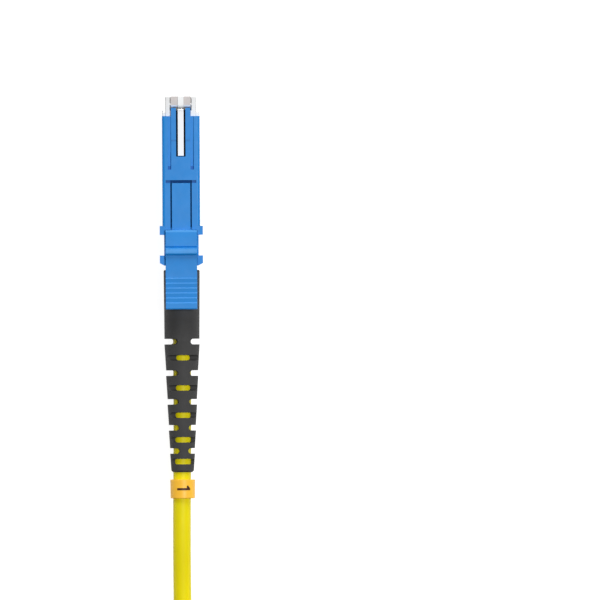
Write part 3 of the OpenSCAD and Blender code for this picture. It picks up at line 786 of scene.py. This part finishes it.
class PLUG_OT_stage(bpy.types.Operator):
    """Set the floor, the lights and the camera"""

    bl_idname = "plug.stage"
    bl_label = "Stage"

    def execute(self, context):
        studio = settings("plug_studio")
        half = 1.5
        floor = bpy.data.meshes.new("floor")
        corners = [(-half, -half), (half, -half), (half, half), (-half, half)]
        floor.from_pydata([(x, y, FLOOR_Z) for x, y in corners], [], [(0, 1, 2, 3)])
        floor.materials.append(floor_panel("floor panel", studio.floor, studio.floor_glow))
        linked("floor", floor)
        self.light(studio)
        self.camera(studio)
        return {"FINISHED"}

    def light(self, studio):
        """A dim white surround, a low soft light ahead of the plug's front and a high one."""
        world = bpy.data.worlds.new("surround")
        world.use_nodes = True
        surround = world.node_tree.nodes["Background"]
        surround.inputs["Color"].default_value = (1.0, 1.0, 1.0, 1.0)
        surround.inputs["Strength"].default_value = studio.sky_strength
        bpy.context.scene.world = world
        self.lamp("key", studio.key_power, studio.key_size, studio.key_place, studio.aim)
        self.lamp("top", studio.top_power, studio.top_size, studio.top_place, studio.aim)

    def lamp(self, name, power, size, place, aim):
        """A round soft light of that size, turned from its place to its aim."""
        light = bpy.data.lights.new(name, "AREA")
        light.shape = "DISK"
        light.size = size
        light.energy = power
        lamp = bpy.data.objects.new(name, light)
        bpy.context.scene.collection.objects.link(lamp)
        lamp.location = place
        lamp.rotation_euler = (Vector(aim) - lamp.location).to_track_quat("-Z", "Y").to_euler()

    def camera(self, studio):
        """A long lens straight above, so far back that the picture has the stated height."""
        data = bpy.data.cameras.new("camera")
        data.lens = studio.lens
        data.sensor_width = 36.0
        distance = studio.view_height * data.lens / data.sensor_width
        data.clip_start = distance * 0.1
        data.clip_end = distance * 20
        camera = bpy.data.objects.new("camera", data)
        bpy.context.scene.collection.objects.link(camera)
        camera.location = (studio.view_x, studio.view_y, distance)
        camera.rotation_euler = (0.0, 0.0, studio.view_roll)
        bpy.context.scene.camera = camera
        bpy.context.scene.view_settings.view_transform = "Standard"


# ---- Plug pieces ----

def painted_channel_shade(places, facing):
    """The floor and walls of the channel under the leaf spring, which get painted shade."""
    x, y, z = places.T
    inside = (np.abs(x) < CHANNEL_HALF) & (z > CHANNEL_LOW) & (z < LEAF_HIGH.z)
    return inside & (y > LEAF_LOW.y - CHANNEL_BACK) & (y < LEAF_HIGH.y)


def painted_shade_places(places, facing):
    """Painted shade: 1 for the slits round the tongue and the pivot, and 2, lighter, for the
    floors that look up in the slits' shallower parts and at the grooves' ends.
    """
    x, y, z = places.T
    depth = HOUSING_HIGH.z - z
    slits = (np.abs(x) < LEVER_HIGH.x) & (z > LEVER_LOW.z) & (depth > TRACE)
    slits &= (y > PIVOT_Y - OPENING_BACK) & (y < LEVER_HIGH.y + OPENING_FRONT)
    groove_end = (depth > GROOVE_END[0]) & (depth < GROOVE_END[1])
    shallow = slits & (depth < SLIT_FLOOR) | groove_end
    return np.where(shallow & (facing[:, 2] > LEVEL), 2, slits)


class PLUG_OT_housing(bpy.types.Operator):
    """Round and finish the blue housing and the white inner body"""

    bl_idname = "plug.housing"
    bl_label = "Housing"

    def execute(self, context):
        edges, colours = settings("plug_edges"), settings("plug_colours")
        blue = moulded_plastic("housing blue", colours.housing)
        white = moulded_plastic("nose white", colours.nose, gloss=(0.36, 0.46))
        # Painted shade: near black in the inner body's channel, and two darker blues in the
        # housing's slits and grooves
        dark = moulded_plastic("channel painted shade", colours.channel, gloss=(0.6, 0.7), specular=0.1)
        painted_slit_shade = moulded_plastic("pocket blue", colours.painted_slit_shade, gloss=(0.6, 0.7), specular=0.1)
        painted_groove_shade = moulded_plastic("groove blue", colours.shade, specular=0.2)
        for prefix in PLUGS:
            rounded_copy(
                prefix, "outer_housing", "housing_moulding", edges.housing,
                [blue, painted_slit_shade, painted_groove_shade], choose=painted_shade_places,
            )
            rounded_copy(
                prefix, "inner_body", "nose_moulding", edges.nose, [white, dark],
                choose=painted_channel_shade,
            )
        return {"FINISHED"}


def painted_highlight_faces(places, facing):
    """The faces given a painted highlight: the grip's risers, the plate's sloping front and the
    ridge's crown.

    A riser looks ahead by over 0.4 and up by over 0.3, and the slope looks ahead by over 0.2.
    """
    y, ahead, up = places[:, 1], facing[:, 1], facing[:, 2]
    grip = (y > LEVER_LOW.y + GRIP_FROM) & (y < LEVER_LOW.y + GRIP_TO)
    riser = grip & (ahead > 0.4) & (up > 0.3)
    slope = (y < PIVOT_Y) & (y > PIVOT_Y - PLATE_SLOPE) & (ahead > 0.2)
    crown = np.abs(PIVOT_Y - CROWN_BACK - y) < CROWN_HALF
    return riser | (slope | crown) & (up > LEVEL)


class PLUG_OT_lever(bpy.types.Operator):
    """Round and finish the lever"""

    bl_idname = "plug.lever"
    bl_label = "Lever"

    def execute(self, context):
        edges, colours = settings("plug_edges"), settings("plug_colours")
        blue = moulded_plastic("lever blue", colours.lever)
        # Painted highlight: a lighter blue on the grip's risers, the plate's front and the ridge's
        # crown
        light = moulded_plastic("lever crest", colours.painted_highlight)
        for prefix in PLUGS:
            rounded_copy(
                prefix, "lever", "lever_moulding", edges.lever, [blue, light],
                choose=painted_highlight_faces,
            )
        return {"FINISHED"}


def rib_and_painted_highlight(places, facing):
    """1 for the rib, which stands above the sheet's top, and 2 for the barrel's back, which gets a
    painted highlight.

    The barrel's back looks up, and behind by over 0.15.
    """
    barrel = (facing[:, 1] < -0.15) & (facing[:, 2] > 0.0)
    return np.where(places[:, 2] > RIB_TOP - RIB_HEIGHT, 1, 2 * barrel)


class PLUG_OT_shutter(bpy.types.Operator):
    """Round and finish the shutter, its pin and its leaf spring"""

    bl_idname = "plug.shutter"
    bl_label = "Shutter"

    def execute(self, context):
        edges, colours = settings("plug_edges"), settings("plug_colours")
        sheet = bent_sheet("shutter sheet", colours.shutter)
        # Painted highlight: a light grey on the barrel's back
        painted_barrel_highlight = bent_sheet("burnished barrel", colours.barrel)
        white = moulded_plastic("leaf white", colours.leaf, gloss=(0.3, 0.4))
        steel = drawn_wire("hinge steel", colours.metal)
        for prefix in PLUGS:
            rounded_copy(
                prefix, "shutter", "shutter_sheet", edges.shutter, [sheet, white, painted_barrel_highlight],
                choose=rib_and_painted_highlight,
            )
            leaf = rounded_copy(
                prefix, "shutter_spring", "leaf_spring", edges.shutter, [white],
            )
            self.draw_out(leaf.data, prefix, edges.leaf_front, edges.leaf_back)
            rounded_copy(
                prefix, "hinge_pin", "hinge_pin_wire", edges.shutter, [steel],
            )
        return {"FINISHED"}

    def draw_out(self, mesh, prefix, front, back):
        """Moves the leaf's bead up to the shutter's rib, and its foot to the slot's end."""
        corners = np.empty(len(mesh.vertices) * 3)
        mesh.vertices.foreach_get("co", corners)
        places = plug_local(corners.reshape(-1, 3), prefix)
        places[places[:, 1] > LEAF_HIGH.y - BEAD, 1] += front
        places[places[:, 1] < LEAF_LOW.y + FOOT_END, 1] -= back
        mesh.vertices.foreach_set("co", place_in_plug(places, prefix).ravel())
        mesh.update()


class PLUG_OT_ferrule(bpy.types.Operator):
    """Finish the ferrule, its flange and its spring"""

    bl_idname = "plug.ferrule"
    bl_label = "Ferrule"

    def execute(self, context):
        edges, colours = settings("plug_edges"), settings("plug_colours")
        flange = turned_metal("flange metal", colours.metal)
        wire = drawn_wire("spring steel", colours.metal)
        for prefix in PLUGS:
            ceramic = ferrule_ceramic(
                prefix + "ferrule ceramic", colours.ceramic, colours.fibre,
                PLUGS[prefix][1],
            )
            rounded_copy(
                prefix, "ferrule", "ferrule_ceramic", edges.metal, [ceramic],
                angle=30.0,
            )
            rounded_copy(
                prefix, "ferrule_flange", "flange_turning", edges.metal, [flange],
            )
            self.spring(prefix, wire)
        return {"FINISHED"}

    def spring(self, prefix, wire):
        """Round wire wound on the solid's own size."""
        mesh = coil_mesh(prefix + "spring_wire", settings("plug_coil"), prefix)
        mesh.materials.append(wire)
        piece = linked(prefix + "spring_wire", mesh)
        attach(piece, "root")
        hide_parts(prefix + "ferrule_spring")
        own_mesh(piece)


class PLUG_OT_rear(bpy.types.Operator):
    """Finish the rear body, the crimp, the yarn and the buffered fibre"""

    bl_idname = "plug.rear"
    bl_label = "Rear body and crimp"

    def execute(self, context):
        edges, colours = settings("plug_edges"), settings("plug_colours")
        metal = turned_metal("rear body metal", colours.metal)
        crimp = turned_metal("crimp metal", colours.metal, ring=0.0004)
        yarn = yarn_strands("aramid strands", colours.yarn)
        buffer = moulded_plastic("buffer white", colours.nose)
        rows = [
            ("rear_body", "rear_turning", metal, "rear_metal"),
            ("crimp_sleeve", "crimp_tube", crimp, "crimp_metal"),
            ("aramid_yarn", "yarn_strands", yarn, "yarn"),
            ("fibre_buffer", "buffer_coating", buffer, "buffer"),
        ]
        for prefix in PLUGS:
            for node, name, finish, slot in rows:
                rounded_copy(prefix, node, name, edges.metal, [finish])
        return {"FINISHED"}


class PLUG_OT_boot(bpy.types.Operator):
    """Round and finish the boot"""

    bl_idname = "plug.boot"
    bl_label = "Boot"

    def execute(self, context):
        edges, colours = settings("plug_edges"), settings("plug_colours")
        rubber = boot_rubber("boot rubber", colours.boot)
        for prefix in PLUGS:
            rounded_copy(prefix, "boot", "boot_moulding", edges.boot, [rubber])
        return {"FINISHED"}


def digit_mesh(name, digit, prefix):
    """The figure one as a thin skin of ink wrapped round the clip's outside.

    Across the clip the skin follows the clip's circle, so the place s along the digit's height
    lies at radius times sine and cosine of s over radius. Along the plug it spans from the stem's
    back edge to an outline that steps out for the flag and slants back to the stem at the top.
    """
    radius = MARKER_HIGH.x
    half = digit.stroke / 2
    foot = digit.rise - digit.height / 2
    top = digit.rise + digit.height / 2
    flag_foot, flag_top, step = top - 0.00064, top - 0.00040, 0.00002
    ink_root = 0.00012
    outline = [
        (foot, half), (flag_foot, half), (flag_foot + step, digit.flag), (flag_top, digit.flag),
        (top, half * 0.6),
    ]
    s = np.unique(np.concatenate([np.linspace(foot, top, 40), [point[0] for point in outline]]))
    front = np.interp(s, *np.array(outline).T)
    stem_y = MARKER_HIGH.y - digit.place

    def skin(r):
        """Both long edges of the figure at radius r."""
        x, z = r * np.sin(s / radius), r * np.cos(s / radius)
        return np.stack([
            np.stack([x, stem_y - half + 0 * s, z], 1), np.stack([x, stem_y + front, z], 1),
        ], 1)

    outer, inner = skin(radius + digit.ink), skin(radius - ink_root)
    loop = np.stack([outer[:, 0], outer[:, 1], inner[:, 1], inner[:, 0]], 1)
    points = place_in_plug(loop.reshape(-1, 3), prefix)
    mesh = bpy.data.meshes.new(name)
    mesh.from_pydata(
        points.tolist(), [], [*ring_walls(len(s), 4).tolist(), *ring_caps(len(s), 4)],
    )
    outward(mesh)
    shade(mesh, 40.0)
    return mesh


class PLUG_OT_marker(bpy.types.Operator):
    """Round and finish the marker clip, and print its digit"""

    bl_idname = "plug.marker"
    bl_label = "Marker"

    def execute(self, context):
        edges, colours = settings("plug_edges"), settings("plug_colours")
        orange = moulded_plastic("marker orange", colours.marker, gloss=(0.36, 0.48))
        ink = printed_ink("digit ink", colours.digit)
        for prefix in PLUGS:
            rounded_copy(prefix, "marker", "marker_clip", edges.marker, [orange])
            mesh = digit_mesh(prefix + "marker_digit", settings("plug_digit"), prefix)
            mesh.materials.append(ink)
            piece = linked(prefix + "marker_digit", mesh)
            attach(piece, "root")
        return {"FINISHED"}


def strands_at(line, low, high):
    """Where the cord's centreline crosses the middle of a tie's box, as places in X and Z."""
    middle = (low.y + high.y) / 2
    before, after = line[:-1], line[1:]
    crossing = (before[:, 1] - middle) * (after[:, 1] - middle) < 0
    a, b = before[crossing], after[crossing]
    share = ((middle - a[:, 1]) / (b[:, 1] - a[:, 1]))[:, None]
    places = (a + (b - a) * share)[:, [0, 2]]
    return places[(places[:, 0] > low.x) & (places[:, 0] < high.x) & (places[:, 1] < high.z)]


def band_round(centres, radius, samples=96, count=160):
    """The loop of a band pulled tight round circles: the hull of points on all of them.

    Its count points are an equal step apart.
    """
    angle = 2 * np.pi * np.arange(samples) / samples
    ring = radius * np.stack([np.cos(angle), np.sin(angle)], 1)
    points = (centres[:, None, :] + ring[None, :, :]).reshape(-1, 2)
    points = points[np.lexsort((points[:, 1], points[:, 0]))]
    hull = []
    for half in (points, points[::-1]):
        start = len(hull)
        for point in half:
            while len(hull) - start >= 2:
                one, two = hull[-1] - hull[-2], point - hull[-2]
                if one[0] * two[1] - one[1] * two[0] > 0:
                    break
                hull.pop()
            hull.append(point)
        hull.pop()
    loop = np.array(hull + [hull[0]])
    reach = length_along(loop)
    even = np.linspace(0, reach[-1], count + 1)[:-1]
    return np.stack([np.interp(even, reach, loop[:, i]) for i in range(2)], 1)


def strap_mesh(name, centres, low, high, cord):
    """A flat strip once round the bundle and over its own start, with slightly rounded edges.

    It lies on the band round the strands, one and a fraction turns long, and the second layer
    climbs onto the first over a short ramp. out is the strip's thickness as a vector at each
    point, and every layer is a whole number of them above the band, with a trace between.
    """
    ramp, lift_over = 8, 1.02
    inner = cord.diameter / 2
    thick = cord.tie_thickness
    loop = band_round(centres, inner)
    outer = band_round(centres, inner + thick)
    count = len(loop)
    steps = np.arange(int((1 + cord.tie_overlap) * count) + 1)
    index = (int(cord.tie_start * count) + steps) % count
    climb = np.clip((steps - count + ramp) / ramp, 0, 1)[:, None]
    base = nearest(loop, outer)[index]
    out = outer[index] - base
    foot = base + out * climb * lift_over
    crown = foot + out
    middle = (low.y + high.y) / 2
    half = (high.y - low.y) / 2
    edge = thick * 0.3
    section = [(-half, edge, 0), (-half + edge, 0, 0), (half - edge, 0, 0), (half, edge, 0),
               (half, -edge, 1), (half - edge, 0, 1), (-half + edge, 0, 1), (-half, -edge, 1)]
    rows = []
    for y, inset, side in section:
        flat = (crown if side else foot) + out * (inset / thick)
        rows.append(np.stack([flat[:, 0], 0 * flat[:, 0] + middle + y, flat[:, 1]], 1))
    points = np.stack(rows, 1).reshape(-1, 3).tolist()
    size = len(steps), len(section)
    mesh = bpy.data.meshes.new(name)
    mesh.from_pydata(points, [], [*ring_walls(*size).tolist(), *ring_caps(*size)])
    outward(mesh)
    shade(mesh, 50.0)
    return mesh


def nearest(points, targets):
    """For each target, the point that lies nearest to it."""
    gaps = np.linalg.norm(points[None, :, :] - targets[:, None, :], axis=2)
    return points[gaps.argmin(axis=1)]


class PLUG_OT_ties(bpy.types.Operator):
    """Wrap the ties round the hank's two bundles"""

    bl_idname = "plug.ties"
    bl_label = "Ties"

    def execute(self, context):
        cord = settings("plug_cord")
        fuzz = hook_and_loop("tie strip", settings("plug_colours").tie)
        line = cord_line(cord)[0]
        for side in ("left", "right"):
            low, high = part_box("hank_tie_" + side)
            name = "hank_tie_strip_" + side
            mesh = strap_mesh(name, strands_at(line, low, high), low, high, cord)
            mesh.materials.append(fuzz)
            piece = linked(name, mesh)
            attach(piece, "root")
            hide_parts("hank_tie_" + side)
        return {"FINISHED"}


class PLUG_PT_panel(bpy.types.Panel):
    """Buttons that make each group of pieces"""

    bl_idname = "PLUG_PT_panel"
    bl_label = "Fibre plug"
    bl_space_type = "VIEW_3D"
    bl_region_type = "UI"
    bl_category = "Fibre plug"

    def draw(self, context):
        for operator in OPERATORS:
            self.layout.operator(operator.bl_idname)


GROUPS = {
    "plug_edges": PlugEdges,
    "plug_colours": PlugColours,
    "plug_cord": CordSizes,
    "plug_coil": CoilSizes,
    "plug_digit": MarkerDigit,
    "plug_studio": StudioSettings,
}
OPERATORS = (
    PLUG_OT_stage, PLUG_OT_cord, PLUG_OT_ties, PLUG_OT_housing, PLUG_OT_lever,
    PLUG_OT_shutter, PLUG_OT_ferrule, PLUG_OT_rear, PLUG_OT_boot, PLUG_OT_marker,
)


def register():
    for group in (*GROUPS.values(), *OPERATORS, PLUG_PT_panel):
        bpy.utils.register_class(group)
    for name, group in GROUPS.items():
        setattr(bpy.types.Scene, name, PointerProperty(type=group))


def unregister():
    for name in GROUPS:
        delattr(bpy.types.Scene, name)
    for group in reversed((*GROUPS.values(), *OPERATORS, PLUG_PT_panel)):
        bpy.utils.unregister_class(group)


def main():
    register()
    bpy.ops.plug.stage()
    bpy.ops.plug.cord()
    bpy.ops.plug.ties()
    bpy.ops.plug.housing()
    bpy.ops.plug.lever()
    bpy.ops.plug.shutter()
    bpy.ops.plug.ferrule()
    bpy.ops.plug.rear()
    bpy.ops.plug.boot()
    bpy.ops.plug.marker()
    declare_cord()


if __name__ == "__main__":
    main()
